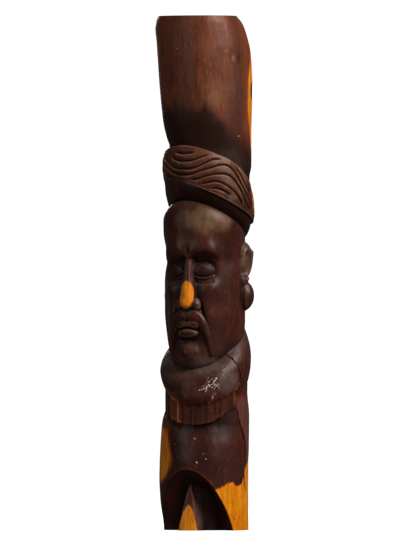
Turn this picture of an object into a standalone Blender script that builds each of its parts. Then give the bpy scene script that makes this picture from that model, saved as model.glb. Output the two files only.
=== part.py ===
"""A length of carved house post: a capped head with a fringed beard, over an arched niche.

Run with: blender --background --python part.py
The face looks along -Y and +Z is up. The origin is the middle of the lower saw cut.
The post is one piece of wood. Its surface is worked out as a distance from the trunk's
own axis, for each angle round the post and each height.
"""

import bmesh
import bpy
import numpy as np

# Driving sizes, in metres
POST_HEIGHT = 1.0
TRUNK_RADIUS = 0.093

# The carving keeps its proportions: H is a thousandth of the height, R a hundredth of the radius
H = POST_HEIGHT / 1000
R = TRUNK_RADIUS / 100

# Angles in degrees round the post, counted from the face towards its own left ear
SIDES = (-65, 25, 115, 205)
EAR_ANGLE = 100
FRINGE_END = 69
NICHE_HALF_ANGLE = 66

# The gouge work: upright flutes of the fringe, and V cuts of the cap's band
FLUTE_COUNT = 14
FLUTE_DEPTH = 3.2 * R
WAVE_PITCH = 14 * H
WAVE_DEPTH = 3.4 * R
WAVE_HALF_WIDTH = 3.4 * R
NICHE_CROWN = 118 * H
NICHE_DEPTH = 34 * R

# The mesh: its columns, how much closer they stand on the carved front, and its triangles
COLUMNS = 320
FRONT_DENSITY = 2.5
TRIANGLES = 9800
LEDGE = 0.6 * H
SAW_ALLOWANCE = 20 * H

WOOD_COLOUR = (0.075, 0.028, 0.018, 1)
WOOD_ROUGHNESS = 0.38


# Helpers for curves and blends

def step(value, start, end):
    """A smooth step from nought at start to one at end."""
    t = np.clip((value - start) / (end - start), 0, 1)
    return t * t * (3 - 2 * t)


def bump(value, centre, spread):
    """A smooth rise to one at the centre, gone by twice the spread."""
    return np.exp(-(((value - centre) / spread) ** 2))


def soft_max(a, b, blend):
    """The larger of two surfaces, with their crease rounded over the blend."""
    t = np.clip(0.5 + 0.5 * (a - b) / blend, 0, 1)
    return b + (a - b) * t + blend * t * (1 - t)


def turn_from(angle, centre):
    """Turn from the centre angle, from 0 to 180 degrees either way."""
    return np.abs((angle - centre + 180) % 360 - 180)


def sweep(angle, centre):
    """Nought at the centre angle, rising as one less the cosine to two opposite it."""
    return 1 - np.cos(np.radians(angle - centre))


def smooth_curve(x, knots):
    """A curve through the knots (x, y) with level ends, and no overshoot between them."""
    kx, ky = np.array(knots, float).T
    slope = np.diff(ky) / np.diff(kx)
    before, after = slope[:-1], slope[1:]
    turning = before * after <= 0
    tangent = np.zeros(len(kx))
    tangent[1:-1] = np.where(turning, 0, 2 * before * after / (before + after + turning))
    x = np.clip(x, kx[0], kx[-1])
    i = np.clip(np.searchsorted(kx, x, side="right") - 1, 0, len(kx) - 2)
    width = kx[i + 1] - kx[i]
    t = (x - kx[i]) / width
    ends = ky[i] * (1 + 2 * t) * (1 - t) ** 2 + ky[i + 1] * t * t * (3 - 2 * t)
    return ends + width * t * (1 - t) * (tangent[i] * (1 - t) - tangent[i + 1] * t)


def by_side(angle, *values):
    """Mixes four values, one for each of the SIDES, smoothly round the post."""
    total = 0
    for value, side in zip(values, SIDES):
        facing = np.maximum(np.cos(np.radians(angle - side)), 0)
        total = total + value * facing**2
    return total


def dome(across, up, centre, reach, rise):
    """Half an ellipsoid: its rise at the centre, nought at its rim, and less beyond it."""
    u = (across - centre[0] * R) / (reach[0] * R)
    v = (up - centre[1] * H) / (reach[1] * H)
    q = 1 - u**2 - v**2
    return rise * R * np.where(q > 0, np.sqrt(np.maximum(q, 0)), q)


def stroke(across, up, start, bend, end):
    """Distance from a curved stroke, and how far along it the nearest point lies, from 0 to 1."""
    start, bend, end = (np.array(point, float) * (R, H) for point in (start, bend, end))
    shares = np.linspace(0, 1, 13)[:, None]
    points = start * (1 - shares) ** 2 + 2 * bend * shares * (1 - shares) + end * shares**2
    nearest = np.full(np.shape(across), np.inf)
    along = np.zeros(np.shape(across))
    for i, (a, b) in enumerate(zip(points[:-1], points[1:])):
        run = b - a
        t = np.clip(((across - a[0]) * run[0] + (up - a[1]) * run[1]) / (run @ run), 0, 1)
        away = np.hypot(across - a[0] - t * run[0], up - a[1] - t * run[1])
        along = np.where(away < nearest, (i + t) / (len(points) - 1), along)
        nearest = np.minimum(nearest, away)
    return nearest, along


# Guide lines round the post, from the foot up: each is a height for each angle

def below_foot(angle):
    return 0 * angle - SAW_ALLOWANCE


def niche_outline(angle):
    """The arch of the hollow at the foot, falling on below the saw cut behind its ends."""
    turn = turn_from(angle, 0)
    return NICHE_CROWN * (1 - (turn / NICHE_HALF_ANGLE) ** 2)


def niche_edge(angle):
    return np.maximum(niche_outline(angle), -0.8 * SAW_ALLOWANCE)


def fringe_foot(angle):
    return np.minimum((206 + 45 * sweep(angle, 0)) * H, fringe_top(angle) - 8 * H)


def fringe_top(angle):
    return (244 + 25.5 * sweep(angle, 0)) * H


def jaw_line(angle):
    return (315 + 52 * sweep(angle, 0)) * H


def hairline(angle):
    return (641 - 42.8 * sweep(angle, -10)) * H


def band_foot(angle):
    return (680 - 43.8 * sweep(angle, -30)) * H


def band_top(angle):
    return (748 - 50.6 * sweep(angle, -10)) * H


def above_top(angle):
    return 0 * angle + POST_HEIGHT + SAW_ALLOWANCE


# The plain shaft above and below the carving

def upper_shaft(angle, z, share):
    """The plain length over the cap, rounded at its top and necked in over the band."""
    h = z / H
    left = ((747, 75), (759, 79), (788, 87), (858, 95.4), (953, 102.5), (974, 105), (1000, 97))
    front = ((735, 77), (760, 82), (800, 91), (860, 97), (950, 100), (975, 98), (1000, 86))
    right = ((687, 94), (708, 97.5), (759, 98), (866, 100), (927, 96.5), (969, 86), (986, 79.5), (1000, 67))
    back = ((650, 94), (700, 96), (800, 98), (930, 100), (970, 95), (1000, 82))
    return by_side(angle, *(smooth_curve(h, knots) for knots in (left, front, right, back))) * R


def lower_shaft(angle, z, share):
    """The plain length under the fringe, down to the lower saw cut."""
    h = z / H
    left = ((0, 87), (62, 94.8), (100, 96.7), (152, 94.8), (189, 92.5), (216, 89), (235, 84))
    front = ((0, 92), (60, 95), (130, 94), (165, 90), (190, 84), (208, 80))
    right = ((0, 91.6), (50, 91), (130, 91.4), (170, 93), (220, 93.4), (270, 89.5))
    back = ((0, 93), (150, 94), (300, 91))
    return by_side(angle, *(smooth_curve(h, knots) for knots in (left, front, right, back))) * R


def niche(angle, z, share):
    """The arched hollow at the foot, with a pointed leaf standing in it."""
    turn = turn_from(angle, 0)
    steepness = 2 * NICHE_CROWN * turn / NICHE_HALF_ANGLE**2 / np.radians(1) / TRUNK_RADIUS
    inside = np.maximum(niche_outline(angle) - z, 0) / np.hypot(1, steepness)
    softness = (26 - 19 * step(turn, 5, 45)) * H
    shaft = lower_shaft(angle, z, share)
    floor = shaft - NICHE_DEPTH * np.clip(inside / softness, 0, 1) ** 0.7
    height_share = np.clip(1 - z / (92 * H), 0, 1.2)
    front_half = 13 * height_share**0.75
    leaf_half = 32 * height_share**0.75 + 0.01
    ridge = (72 + 23 * height_share**0.5) * R - 0.02 * R * np.minimum(turn, front_half) ** 2
    leaf = ridge - 36 * R * np.maximum(turn - front_half, 0) / (leaf_half - front_half)
    return np.where(height_share > 0, np.maximum(floor, np.minimum(leaf, shaft - R)), floor)


# The beard and its fringe

def jaw_radius(angle):
    return by_side(angle, 71, 72, 83, 86) * R


def beard(angle, z, share):
    """The beard's smooth roll, from its fringe (share 0) up to the jaw (share 1)."""
    jaw = jaw_radius(angle)
    crest = by_side(angle, 94.6, 97, 97.3, 95) * R
    lip = by_side(angle, 87, 91, 89, 90) * R
    fullest = 0.45
    over = 1 - np.clip((share - fullest) / (1 - fullest), 0, 1) ** 2.2
    under = np.clip((fullest - share) / fullest, 0, 1) ** 2
    return np.where(share > fullest, jaw + (crest - jaw) * over, crest - (crest - lip) * under)


def fringe(angle, z, share):
    """Upright flutes along the beard's lower edge, ending in the plain post at each side."""
    edge = by_side(angle, 82.5, 89.5, 89, 90) * R
    phase = (angle + FRINGE_END) / (2 * FRINGE_END) * FLUTE_COUNT % 1
    flute = FLUTE_DEPTH * np.sqrt(np.clip(1 - (2 * phase - 1) ** 2, 0, 1))
    within = step(turn_from(angle, 0), FRINGE_END + 1.5, FRINGE_END - 0.5)
    return lower_shaft(angle, z, share) * (1 - within) + (edge - flute) * within


# The head, with heights in H and widths in R measured round it from the middle of the face

def skull(angle, z):
    """The head without its features."""
    turn = turn_from(angle, 0)
    forehead = 6 * R * bump(z, 590 * H, 50 * H) * step(turn, 100, 20)
    temple = 4 * R * bump(z, 545 * H, 30 * H) * bump(turn, 62, 20)
    hollow = 9 * R * bump(z, 430 * H, 85 * H) * step(turn, 75, 10)
    taper = 5 * R * step(z, 430 * H, 330 * H) * bump(turn, 62, 26)
    return 85 * R + forehead - temple - hollow - taper


def cheeks(surface, across, z):
    """High cheekbones over full cheeks, with a fold from the nose down past the mouth."""
    cheekbone = 7 * R * bump(across, 58 * R, 26 * R) * bump(z, 472 * H, 26 * H)
    cheek = 7 * R * bump(across, 54 * R, 22 * R) * bump(z, 420 * H, 40 * H)
    away, along = stroke(across, z, (22, 448), (36, 432), (44, 384))
    fold = 4.5 * R * bump(away, 0, 5 * R) * (1 - 0.6 * along)
    return surface + cheekbone + cheek - fold


def brows_and_eyes(surface, across, z):
    """Arched brows over deep sockets, with the lids lowered over the eyes."""
    crest = (530 + 12 * np.sin(np.clip(across / (78 * R), 0, 1) * np.pi)) * H
    fall = np.where(z > crest, 18 * H, 8 * H)
    brow = 7 * R * bump(z, crest, fall) * step(across, 98 * R, 58 * R)
    socket = 13 * R * bump(across, 37 * R, 27 * R) * bump(z, 506 * H, 19 * H)
    corner = 5 * R * bump(across, 15 * R, 8 * R) * bump(z, 511 * H, 16 * H)
    lid = 78 * R + dome(across, z, (39, 503), (29, 16), 8.5)
    surface = soft_max(surface + brow - socket - corner, lid, 2 * R)
    bend = 1 - ((across - 39 * R) / (28 * R)) ** 2
    within = step(bend, 0.05, 0.35)
    seam = (502 - 9 * bend) * H
    seam_cut = 3.2 * R * bump(z, seam, 1.9 * H)
    lower_lid = 1.6 * R * bump(z, seam - 4.5 * H, 2.6 * H)
    lid_fold = 2 * R * bump(z, (507 + 11 * bend) * H, 2 * H)
    return surface + (lower_lid - seam_cut - lid_fold) * within


def mouth(surface, across, z):
    """Closed lips on a rounded muzzle, over a round chin."""
    muzzle = 9 * R * bump(across, 0, 34 * R) * bump(z, 396 * H, 30 * H)
    chin = 13 * R * bump(across, 0, 27 * R) * bump(z, 343 * H, 19 * H)
    surface = surface + muzzle + chin
    surface = soft_max(surface, 85 * R + dome(across, z, (10, 395), (21, 9), 8), 1.5 * R)
    surface = soft_max(surface, 84 * R + dome(across, z, (0, 381), (25, 9.5), 9), 1.5 * R)
    line = (388 + 1.5 * np.cos(across / (8 * R)) - 2.5 * (across / (30 * R)) ** 2) * H
    parting = 5 * R * bump(z, line, 1.8 * H) * step(across, 36 * R, 27 * R)
    under_lip = 3.5 * R * bump(z, 366 * H, 6 * H) * step(across, 32 * R, 12 * R)
    groove = 1.6 * R * bump(across, 0, 3.5 * R) * bump(z, 411 * H, 8 * H)
    return surface - parting - under_lip - groove


def nose(surface, across, z):
    """A straight nose: a widening bridge, a round tip and two wings."""
    share = np.clip((534 * H - z) / (90 * H), 0, 1)
    flat_half = (5 + 5 * share) * R
    slope = 0.75 + 0.35 * share
    bridge = (86 + 17 * share**0.85) * R - slope * np.maximum(across - flat_half, 0) - 0.02 * across**2 / R
    ends = 50 * R * step(z, 436 * H, 422 * H) + 30 * R * step(z, 528 * H, 566 * H)
    surface = soft_max(surface, bridge - ends, 3 * R)
    surface = soft_max(surface, 84 * R + dome(across, z, (0, 441), (17, 15), 20), 2.5 * R)
    surface = soft_max(surface, 77 * R + dome(across, z, (18, 437), (12, 13), 16.5), 1.5 * R)
    return surface - 8 * R * bump(across, 9 * R, 5 * R) * bump(z, 424 * H, 4 * H)


def moustache(surface, across, z):
    """Two smooth locks that sweep from under the nose down to the beard."""
    away, along = stroke(across, z, (10, 413), (46, 410), (66, 346))
    half_width = (11.5 - 5 * along) * R
    lock = np.sqrt(np.clip(1 - (away / half_width) ** 2, 0, 1))
    base = 87 * R - 7 * R * along**1.5
    return np.where(lock > 0, soft_max(surface, base + 7 * R * lock, 1.2 * R), surface)


def ears(surface, angle, z):
    """A rounded ear at each side: a rim round its hollow, and a full lobe under a waist."""
    across = (turn_from(angle, 0) - EAR_ANGLE) * np.radians(1) * TRUNK_RADIUS
    surface = soft_max(surface, 78 * R + dome(across, z, (0, 488), (17, 40), 16), 3 * R)
    surface = soft_max(surface, 78 * R + dome(across, z, (6, 525), (29, 38), 25), 3 * R)
    surface = soft_max(surface, 78 * R + dome(across, z, (8, 456), (26, 31), 27), 3 * R)
    from_middle = np.hypot((across + 2 * R) / (20 * R), (z - 518 * H) / (31 * H))
    hollow = 13 * R * step(from_middle, 1, 0.55)
    canal = 5 * R * bump(across, -9 * R, 7 * R) * bump(z, 500 * H, 11 * H)
    away, _ = stroke(across, z, (9, 541), (17, 515), (0, 490))
    return surface - hollow - canal + 4 * R * bump(away, 0, 4 * R)


def head(angle, z, share):
    """The whole head, drawn in under the cap and over the beard."""
    across = np.radians(turn_from(angle, 0)) * TRUNK_RADIUS
    surface = cheeks(skull(angle, z), across, z)
    surface = brows_and_eyes(surface, across, z)
    surface = mouth(surface, across, z)
    surface = nose(surface, across, z)
    surface = moustache(surface, across, z)
    surface = ears(surface, angle, z)
    below_hair = np.clip((hairline(angle) - z) / (26 * H), 0, 1)
    above_jaw = np.clip((z - jaw_line(angle)) / (20 * H), 0, 1)
    hair, jaw = hair_radius(angle), jaw_radius(angle)
    surface = hair + (surface - hair) * np.sqrt(1 - (1 - below_hair) ** 2)
    return jaw + (surface - jaw) * np.sqrt(1 - (1 - above_jaw) ** 2)


# The cap

def hair_radius(angle):
    return by_side(angle, 68, 76, 84, 86) * R


def cap_underside(angle, z, share):
    """The dark roll under the band, turning in from the band (share 1) to the hairline (share 0)."""
    band = by_side(angle, 84.5, 97, 102.7, 100) * R
    lip = 6 * R * step(turn_from(angle, -100), 60, 110)
    hair = hair_radius(angle)
    return hair + (band - lip - hair) * (1 - (1 - share) ** 2) ** 0.8


def wave_line(angle):
    """One cut of the cap's wave pattern, as a height at each angle."""
    front = ((-44, 716), (-20, 696), (0, 689.5), (30, 703.5), (50, 710), (62, 703), (75, 674), (93, 638))
    back = ((120, 610), (150, 603), (185, 627), (215, 641), (240, 655), (270, 690), (295, 708), (316, 716))
    return smooth_curve((angle + 44) % 360 - 44, front + back) * H


def wave_cuts(angle, z):
    """Depth of the V cuts that follow the wave line, one above another."""
    slope = (wave_line(angle + 1) - wave_line(angle - 1)) / np.radians(2) / TRUNK_RADIUS
    lean = 1 / np.hypot(1, slope)
    above_cut = (z - wave_line(angle) + WAVE_PITCH / 2) % WAVE_PITCH - WAVE_PITCH / 2
    half_width = np.minimum(WAVE_HALF_WIDTH, 0.42 * WAVE_PITCH * lean)
    profile = np.clip(1 - np.abs(above_cut) * lean / half_width, 0, 1) ** 1.3
    plain_edge = step(np.minimum(band_top(angle) - z, z - band_foot(angle)), 0, 5 * H)
    return WAVE_DEPTH * half_width / WAVE_HALF_WIDTH * profile * plain_edge


def cap_band(angle, z, share):
    """The cap's carved band, from its foot (share 0) to its upper edge (share 1)."""
    left = ((0, 85), (0.3, 88), (0.6, 90), (0.85, 89.5), (1, 87))
    front = ((0, 97), (0.3, 98.5), (0.6, 97), (0.85, 93), (1, 89))
    right = ((0, 102.7), (0.2, 104.8), (0.5, 103.6), (0.8, 100.5), (1, 97))
    back = ((0, 100), (0.3, 102), (0.6, 101), (0.85, 98), (1, 96))
    band = by_side(angle, *(smooth_curve(share, knots) for knots in (left, front, right, back))) * R
    return band - wave_cuts(angle, z)


# The regions from the foot up: lower edge, upper edge, number of rows and surface
REGIONS = (
    (below_foot, niche_edge, 60, niche),
    (niche_edge, fringe_foot, 50, lower_shaft),
    (fringe_foot, fringe_top, 16, fringe),
    (fringe_top, jaw_line, 26, beard),
    (jaw_line, hairline, 170, head),
    (hairline, band_foot, 18, cap_underside),
    (band_foot, band_top, 48, cap_band),
    (band_top, above_top, 60, upper_shaft),
)


def column_angles():
    """Angles of the mesh's columns, closer together on the carved front."""
    fine = np.linspace(-180, 180, 3601)
    density = 1 + (FRONT_DENSITY - 1) * step(np.abs(fine), 140, 120)
    passed = np.concatenate(([0], np.cumsum((density[1:] + density[:-1]) / 2)))
    return np.interp(np.arange(COLUMNS) / COLUMNS * passed[-1], passed, fine)


def surface_rows(angles):
    """The post's surface as rings of points, from below the foot upwards."""
    turn = np.radians(angles)
    rings = []
    for low, high, count, surface in REGIONS:
        bottom, top = low(angles) + LEDGE, high(angles) - LEDGE
        for share in np.linspace(0, 1, count):
            z = bottom + share * (top - bottom)
            away = surface(angles, z, share + 0 * angles)
            rings.append(np.stack((away * np.sin(turn), -away * np.cos(turn), z), axis=1))
    return rings


def tube_mesh(name, rings):
    """An open tube through the rings of points."""
    count = len(rings[0])
    faces = []
    for lower in range(0, count * (len(rings) - 1), count):
        upper = lower + count
        for column in range(count):
            ahead = (column + 1) % count
            faces.append((lower + column, lower + ahead, upper + ahead, upper + column))
    mesh = bpy.data.meshes.new(name)
    mesh.from_pydata(np.concatenate(rings).tolist(), [], faces)
    return mesh


def saw(mesh, height, keep_above):
    """Cuts the tube square at this height and closes it with a flat end."""
    bm = bmesh.new()
    bm.from_mesh(mesh)
    cut = bmesh.ops.bisect_plane(
        bm,
        geom=bm.verts[:] + bm.edges[:] + bm.faces[:],
        dist=1e-6,
        plane_co=(0, 0, height),
        plane_no=(0, 0, 1),
        clear_inner=keep_above,
        clear_outer=not keep_above,
    )
    rim = [item for item in cut["geom_cut"] if isinstance(item, bmesh.types.BMEdge)]
    for edge in rim:
        for vertex in edge.verts:
            vertex.co.z = height
    bmesh.ops.contextual_create(bm, geom=rim)
    bmesh.ops.recalc_face_normals(bm, faces=bm.faces[:])
    bm.to_mesh(mesh)
    bm.free()


def dark_heartwood():
    """Dark polished heartwood."""
    material = bpy.data.materials.new("dark_heartwood")
    material.use_nodes = True
    shader = material.node_tree.nodes["Principled BSDF"]
    shader.inputs["Base Color"].default_value = WOOD_COLOUR
    shader.inputs["Roughness"].default_value = WOOD_ROUGHNESS
    shader.inputs["Metallic"].default_value = 0
    return material


def thinned(mesh):
    """The mesh with its flatter parts thinned until its triangles are down to the budget."""
    scratch = bpy.data.objects.new("scratch", mesh)
    bpy.context.scene.collection.objects.link(scratch)
    thin = scratch.modifiers.new("Thin", "DECIMATE")
    thin.ratio = TRIANGLES / (2 * len(mesh.polygons))
    graph = bpy.context.evaluated_depsgraph_get()
    result = bpy.data.meshes.new_from_object(scratch.evaluated_get(graph))
    bpy.data.objects.remove(scratch)
    return result


def carved_post():
    """The post as one solid, with both of its ends sawn flat."""
    mesh = thinned(tube_mesh("carved_post", surface_rows(column_angles())))
    saw(mesh, 0, keep_above=True)
    saw(mesh, POST_HEIGHT, keep_above=False)
    mesh.materials.append(dark_heartwood())
    mesh.shade_smooth()
    post = bpy.data.objects.new("carved_post", mesh)
    bpy.context.scene.collection.objects.link(post)
    return post


def main():
    for old in list(bpy.data.objects):
        bpy.data.objects.remove(old)
    carved_post()


main()
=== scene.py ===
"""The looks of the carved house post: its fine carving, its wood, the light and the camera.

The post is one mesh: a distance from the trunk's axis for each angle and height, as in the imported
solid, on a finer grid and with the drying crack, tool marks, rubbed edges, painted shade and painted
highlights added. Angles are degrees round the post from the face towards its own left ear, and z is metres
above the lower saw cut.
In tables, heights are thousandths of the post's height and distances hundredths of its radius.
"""

import bmesh
import bpy
import numpy as np
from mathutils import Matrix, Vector


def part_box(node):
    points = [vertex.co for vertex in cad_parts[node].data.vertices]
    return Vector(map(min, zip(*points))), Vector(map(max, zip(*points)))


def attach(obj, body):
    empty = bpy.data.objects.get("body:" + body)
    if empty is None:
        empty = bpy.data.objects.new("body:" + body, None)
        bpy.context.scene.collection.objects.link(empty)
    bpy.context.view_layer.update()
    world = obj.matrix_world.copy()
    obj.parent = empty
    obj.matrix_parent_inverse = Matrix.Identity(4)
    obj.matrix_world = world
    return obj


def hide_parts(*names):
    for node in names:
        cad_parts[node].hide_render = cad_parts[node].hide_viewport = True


# Proportions of the trunk, and angles on it
TRUNK_RADIUS = 0.093
SIDES = (-65, 25, 115, 205)
EAR_ANGLE = 100
FRINGE_END = 69
NICHE_HALF_ANGLE = 66

# The mesh: its columns, how much closer together they are in places, and its final size
COLUMNS = 560
FRONT_DENSITY = 2.6
CRACK_DENSITY = 9
CAP_DENSITY = 2
TRIANGLES = 190000

# Outlines on each of the SIDES: height (in the band a share of its own) and distance from the axis
UPPER_OUTLINES = (
    (
        (747, 75), (759, 79), (788, 87), (858, 95.4), (953, 102.5), (975, 104.5), (990, 102.5),
        (1000, 98.5), (1010, 93),
    ),
    ((735, 77), (760, 82), (800, 91), (860, 97), (930, 100), (985, 98.5), (1010, 95)),
    (
        (687, 94), (708, 97.5), (759, 98), (866, 100), (927, 96.5), (969, 86), (986, 78.5),
        (1000, 66.5), (1010, 54),
    ),
    ((650, 94), (700, 96), (800, 98), (930, 100), (975, 96.5), (1000, 88), (1010, 82)),
)
LOWER_OUTLINES = (
    ((0, 87), (62, 94.8), (100, 96.7), (152, 94.8), (189, 92.5), (216, 89), (235, 84)),
    ((0, 92), (60, 95), (130, 94), (165, 90), (190, 84), (208, 80)),
    ((0, 91.6), (50, 91), (130, 91.4), (170, 93), (220, 93.4), (270, 89.5)),
    ((0, 93), (150, 94), (300, 91)),
)
BAND_OUTLINES = (
    ((0, 85), (0.3, 88), (0.6, 90), (0.85, 89.5), (1, 87)),
    ((0, 97), (0.3, 98.5), (0.6, 97), (0.85, 93), (1, 89)),
    ((0, 102.7), (0.2, 104.8), (0.5, 103.6), (0.8, 100.5), (1, 97)),
    ((0, 100), (0.3, 102), (0.6, 101), (0.85, 98), (1, 96)),
)

# Angles of the ridges between the fringe's flutes
FLUTE_RIDGES = (-69, -56, -41, -30, -16, -4, 7, 20.5, 29.5, 39.5, 47, 56, 64, 69)

# The cuts on the cap's front and left, each a line of points: angle and height
CAP_CUTS = (
    ((-20, 735), (-12, 731.5), (-3, 730.5), (6, 732), (13, 735)),
    ((-26, 727), (-19, 720), (-11, 717), (-3, 716), (7, 717), (17, 722), (31, 730.5)),
    (
        (-43, 721), (-33, 714.5), (-26, 708), (-19, 703.5), (-10, 701), (3, 700.5), (13, 703.5),
        (24, 712), (35, 719.5), (47, 721),
    ),
    (
        (-56, 716), (-45, 706.5), (-33, 700), (-24, 695), (-14, 691), (-3, 689), (9, 691), (20, 698),
        (32, 703), (43, 708.5), (50, 709.5), (56, 707.5), (60, 703), (65.3, 695.5), (71.6, 681),
        (76.7, 668.5), (82.3, 656.5), (88.9, 642), (93.3, 632), (99, 624),
    ),
    (
        (6, 680), (14, 680.5), (26, 687), (38, 691.3), (49, 691.7), (57, 688.5), (64, 679), (71, 666),
        (77, 652), (83, 636), (89, 626), (94, 617),
    ),
    (
        (18, 671), (28, 674.5), (38, 677.3), (47, 674), (56, 666.5), (64, 656.5), (70, 646), (75, 635),
        (78, 628),
    ),
    ((30, 663.5), (40, 663.5), (50, 658), (60, 648.5)),
    ((67, 708), (70, 702), (74.9, 691.6), (79.4, 679.5), (85.6, 667.3), (90.2, 659.5), (95, 654)),
    ((-58, 702), (-45, 690.5), (-33, 686), (-22, 680.5)),
    ((-56, 690), (-44, 681.5), (-32, 677)),
    ((-60, 729), (-50, 722.5), (-40, 715)),
)

# One cut of the wave pattern on the cap's far side: angle and height
WAVE_LINE = (
    (-44, 716), (-20, 696), (0, 689.5), (30, 703.5), (50, 710), (62, 703), (75, 674), (93, 638),
    (120, 610), (150, 603), (185, 627), (215, 641), (240, 655), (270, 690), (295, 708), (316, 716),
)

# The long drying crack: height and angle
CRACK_LINE = (
    (60, 95), (80, 93.6), (96, 89), (114, 90), (136, 91.8), (158, 92.6), (180, 89), (194, 85.5),
    (223, 77.7), (242, 73.7), (261, 77.4), (278, 76.7), (297, 76.7), (313, 73.5), (332, 66.6),
    (347, 60.6),
)

# The knot hole: its angle and height, and half its width and height
KNOT_HOLE = (109, 853)
KNOT_REACH = (10, 19)

# Edges of the yellow wood: the upper strip's as height and angle, the low part's as angle and height
STRIP_EDGE = (
    (700, 112), (750, 103), (785, 95.5), (807, 90.5), (830, 88), (866, 88.5), (895, 92), (924, 98),
    (953, 100), (1010, 103),
)
LOW_EDGE = (
    (30, 76), (41, 81.5), (49, 85), (53, 90), (57, 93.5), (63, 93.5), (71, 87), (78, 89), (82, 92.5),
    (87, 100), (90, 116), (92.5, 124), (100, 129), (122, 156), (150, 112), (168, 0),
)

# The upper edge of the darkening over the cap: angle and height
NECK_DARKENING = ((-90, 822), (20, 826), (36, 812), (60, 786), (77, 772), (92, 764), (104, 748))

# Patches of dull film and of painted sheen: angle, height, half their width and height, softness of the
# rim, strength
FILM_AND_SHEEN = (
    (28, 604, 44, 26, 0.8, 0.9), (-66, 930, 22, 90, 0.6, 0.9), (36, 842, 14, 36, 0.8, 0.7),
    (30, 940, 12, 40, 0.8, 0.5), (22, 320, 46, 20, 0.7, 0.75), (-28, 305, 24, 26, 0.7, 0.6),
    (55, 290, 18, 26, 0.7, 0.9), (90, 335, 26, 36, 0.6, 0.3), (40, 192, 22, 16, 0.7, 0.2),
    (12, 30, 9, 50, 0.5, 0.6), (100, 520, 16, 40, 0.6, 0.7), (68, 672, 26, 44, 0.7, 0.6),
    (-34, 724, 26, 26, 0.8, 0.4), (52, 716, 10, 8, 0.7, 0.8), (61, 647, 9, 9, 0.7, 0.8),
    (62.5, 916, 3, 7, 0.6, 1), (52, 930, 3, 4, 0.6, 0.8),
)

# Pale scratches, each a strength and a line of points: angle and height
SCRATCHES = (
    (1.0, ((17.6, 272.5), (21, 273.5), (25, 276.5), (27, 280), (30, 283.5))),
    (1.0, ((25.5, 269.5), (27, 274), (28, 278))), (1.0, ((30, 279), (33, 283), (36, 288), (39.5, 296))),
    (0.75, ((33.5, 277), (36, 281), (38, 284.5))), (0.75, ((36, 273.5), (38.5, 281), (41, 285))),
    (0.7, ((42.6, 277), (43.2, 284.5))), (0.7, ((33, 285), (37, 284), (41, 279), (44, 274))),
    (0.6, ((27, 286), (31, 290), (34, 294))), (0.55, ((22, 280), (26, 285))),
    (0.6, ((34.5, 251), (35, 259), (36.2, 268.5))), (0.5, ((36, 262), (39, 266))),
    (0.5, ((28, 291), (29.5, 298))), (0.45, ((-3.5, 272), (-2, 265), (-0.5, 258))),
    (0.55, ((48, 310), (51, 313), (56, 316))), (0.5, ((56, 316), (58, 309))),
    (0.5, ((47.5, 304), (50, 300), (52, 295.5))), (0.4, ((49, 311), (47.5, 304))),
    (0.8, ((77.4, 284), (78.4, 280))), (0.5, ((2.5, 89), (6, 76), (8.6, 64))),
    (0.4, ((20.5, 25), (17.5, 4))), (0.34, ((24, 32), (21, 8))),
    (0.34, ((27, 894), (31, 868), (37, 845), (45, 816))),
    (0.34, ((32, 888), (37, 862), (44, 838), (50, 822))), (0.3, ((38, 886), (42, 864), (47, 846))),
    (0.32, ((25, 866), (30, 846), (36, 828))), (0.28, ((52, 868), (53, 840), (55, 815))),
    (0.26, ((34, 940), (36, 915), (40, 895))), (0.26, ((60, 900), (62, 870), (64, 850))),
    (0.3, ((44, 880), (47, 850), (52, 828))),
)

# The photograph's frame and the post's top and foot in it, in pixels, then the camera and lamps
PHOTO_SIZE = (410, 547)
PHOTO_TOP, PHOTO_FOOT = 16, 530
CAMERA_TURN = 25
CAMERA_DISTANCE = 30.0
SENSOR = 36.0
LAMP_DISTANCE = 2.6


# Helpers for curves and blends

def step(value, start, end):
    """A smooth step from nought at start to one at end."""
    t = np.clip((value - start) / (end - start), 0, 1)
    return t * t * (3 - 2 * t)


def bump(value, centre, spread):
    """A smooth rise to one at the centre, gone by twice the spread."""
    return np.exp(-(((value - centre) / spread) ** 2))


def soft_max(a, b, blend):
    """The larger of two surfaces, with their crease rounded over the blend."""
    t = np.clip(0.5 + 0.5 * (a - b) / blend, 0, 1)
    return b + (a - b) * t + blend * t * (1 - t)


def turn_from(angle, centre=0):
    """Turn from the centre angle, from 0 to 180 degrees either way."""
    return np.abs((angle - centre + 180) % 360 - 180)


def length_of(degrees):
    """The length of a turn, measured round the trunk."""
    return degrees * np.radians(1) * TRUNK_RADIUS


def sweep(angle, centre):
    """Nought at the centre angle, rising to two opposite it."""
    return 1 - np.cos(np.radians(angle - centre))


def curve(x, knots):
    """A curve through the knots (x, y) with level ends, and no overshoot between them."""
    kx, ky = np.array(knots, float).T
    slope = np.diff(ky) / np.diff(kx)
    before, after = slope[:-1], slope[1:]
    turning = before * after <= 0
    tangent = np.zeros(len(kx))
    tangent[1:-1] = np.where(turning, 0, 2 * before * after / (before + after + turning))
    x = np.clip(x, kx[0], kx[-1])
    i = np.clip(np.searchsorted(kx, x, side="right") - 1, 0, len(kx) - 2)
    width = kx[i + 1] - kx[i]
    t = (x - kx[i]) / width
    ends = ky[i] * (1 + 2 * t) * (1 - t) ** 2 + ky[i + 1] * t * t * (3 - 2 * t)
    return ends + width * t * (1 - t) * (tangent[i] * (1 - t) - tangent[i + 1] * t)


def by_side(angle, *values):
    """Mixes four values, one for each of the SIDES, smoothly round the post."""
    total = 0
    for value, side in zip(values, SIDES):
        facing = np.maximum(np.cos(np.radians(angle - side)), 0)
        total = total + value * facing**2
    return total


def outline(angle, x, tables):
    """Distance from the axis, mixed from an outline for each of the SIDES."""
    return by_side(angle, *(curve(x, knots) for knots in tables)) * R


def mound(across, up, centre, reach, rise):
    """A soft rise that fades with its reach round the post and up it."""
    return rise * R * bump(across, centre[0] * R, reach[0] * R) * bump(up, centre[1] * H, reach[1] * H)


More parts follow.
